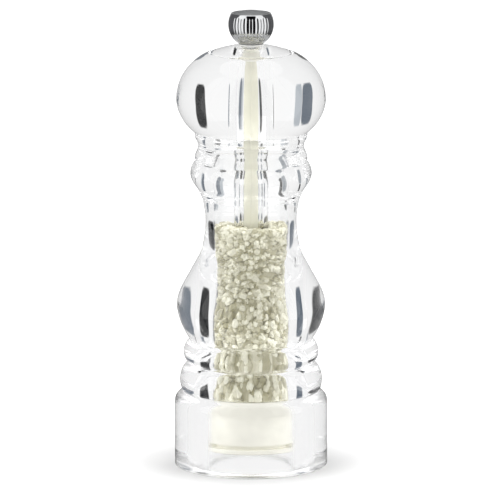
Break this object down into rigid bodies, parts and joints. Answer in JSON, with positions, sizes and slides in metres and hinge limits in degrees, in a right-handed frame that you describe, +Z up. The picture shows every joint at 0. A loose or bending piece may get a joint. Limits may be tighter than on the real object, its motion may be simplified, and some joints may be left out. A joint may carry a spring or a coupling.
{
  "type": "salt mill",
  "caption": "Clear turned hand mill for coarse salt: ball head, waisted body, square shaft in a tube, ribbed metal adjusting knob and a grinding cartridge in the base.",
  "frame": {"origin": "centre of the base's underside, on the mill's axis", "axes": "+Z up along the mill's axis; -Y is the front"},
  "size_m": [0.06, 0.06, 0.1799],
  "materials": {
    "clear_acrylic": "polished clear plastic",
    "cream_plastic": "satin moulded",
    "shaft_plastic": "satin moulded",
    "salt": "coarse crystals",
    "grinding_steel": "machined",
    "zinc_steel": "zinc plated",
    "white_washer": "smooth",
    "chrome": "mirror plated, fine vertical ribs",
    "satin_cap": "satin",
    "brass": "turned"
  },
  "bodies": {
    "body": {"body_shell": "clear_acrylic", "salt_charge": "salt", "mechanism_housing": "cream_plastic", "grinding_ring": "grinding_steel", "ring_retainer": "cream_plastic", "retainer_screws": "zinc_steel", "guide_bridge": "cream_plastic"},
    "guide": {"guide_bush": "cream_plastic"},
    "shaft": {"shaft": "shaft_plastic", "shaft_stud": "zinc_steel", "shaft_tube": "clear_acrylic", "tube_collar": "cream_plastic", "grinding_cone": "grinding_steel", "cone_spring": "zinc_steel", "spring_washer": "zinc_steel", "cone_washer": "zinc_steel", "cone_screw": "zinc_steel"},
    "head": {"head_shell": "clear_acrylic", "head_drive_insert": "cream_plastic"},
    "knob_seat": {"knob_washer": "white_washer"},
    "knob": {"knob": "chrome", "knob_insert": "brass", "knob_cap": "satin_cap"}
  },
  "joints": [
    {"name": "head_turn", "type": "hinge", "parent": "body", "child": "guide", "pos_m": [0, 0, 0.0245], "axis": [0, 0, 1], "continuous": true},
    {"name": "shaft_adjust", "type": "slide", "parent": "guide", "child": "shaft", "axis": [0, 0, 1], "range_m": [-0.0011, 0.0004], "deforming": ["cone_spring"]},
    {"name": "head_lift", "type": "slide", "parent": "guide", "child": "head", "axis": [0, 0, 1], "range_m": [0, 0.05]},
    {"name": "knob_lift", "type": "slide", "parent": "head", "child": "knob_seat", "axis": [0, 0, 1], "range_m": [0, 0.02]},
    {"name": "knob_turn", "type": "hinge", "parent": "knob_seat", "child": "knob", "pos_m": [0, 0, 0.17], "axis": [0, 0, 1], "range_deg": [-180, 540]}
  ],
  "couplings": [
    {"joint": "shaft_adjust", "follows": "knob_turn", "m_per_rad": -0.00011141}
  ]
}
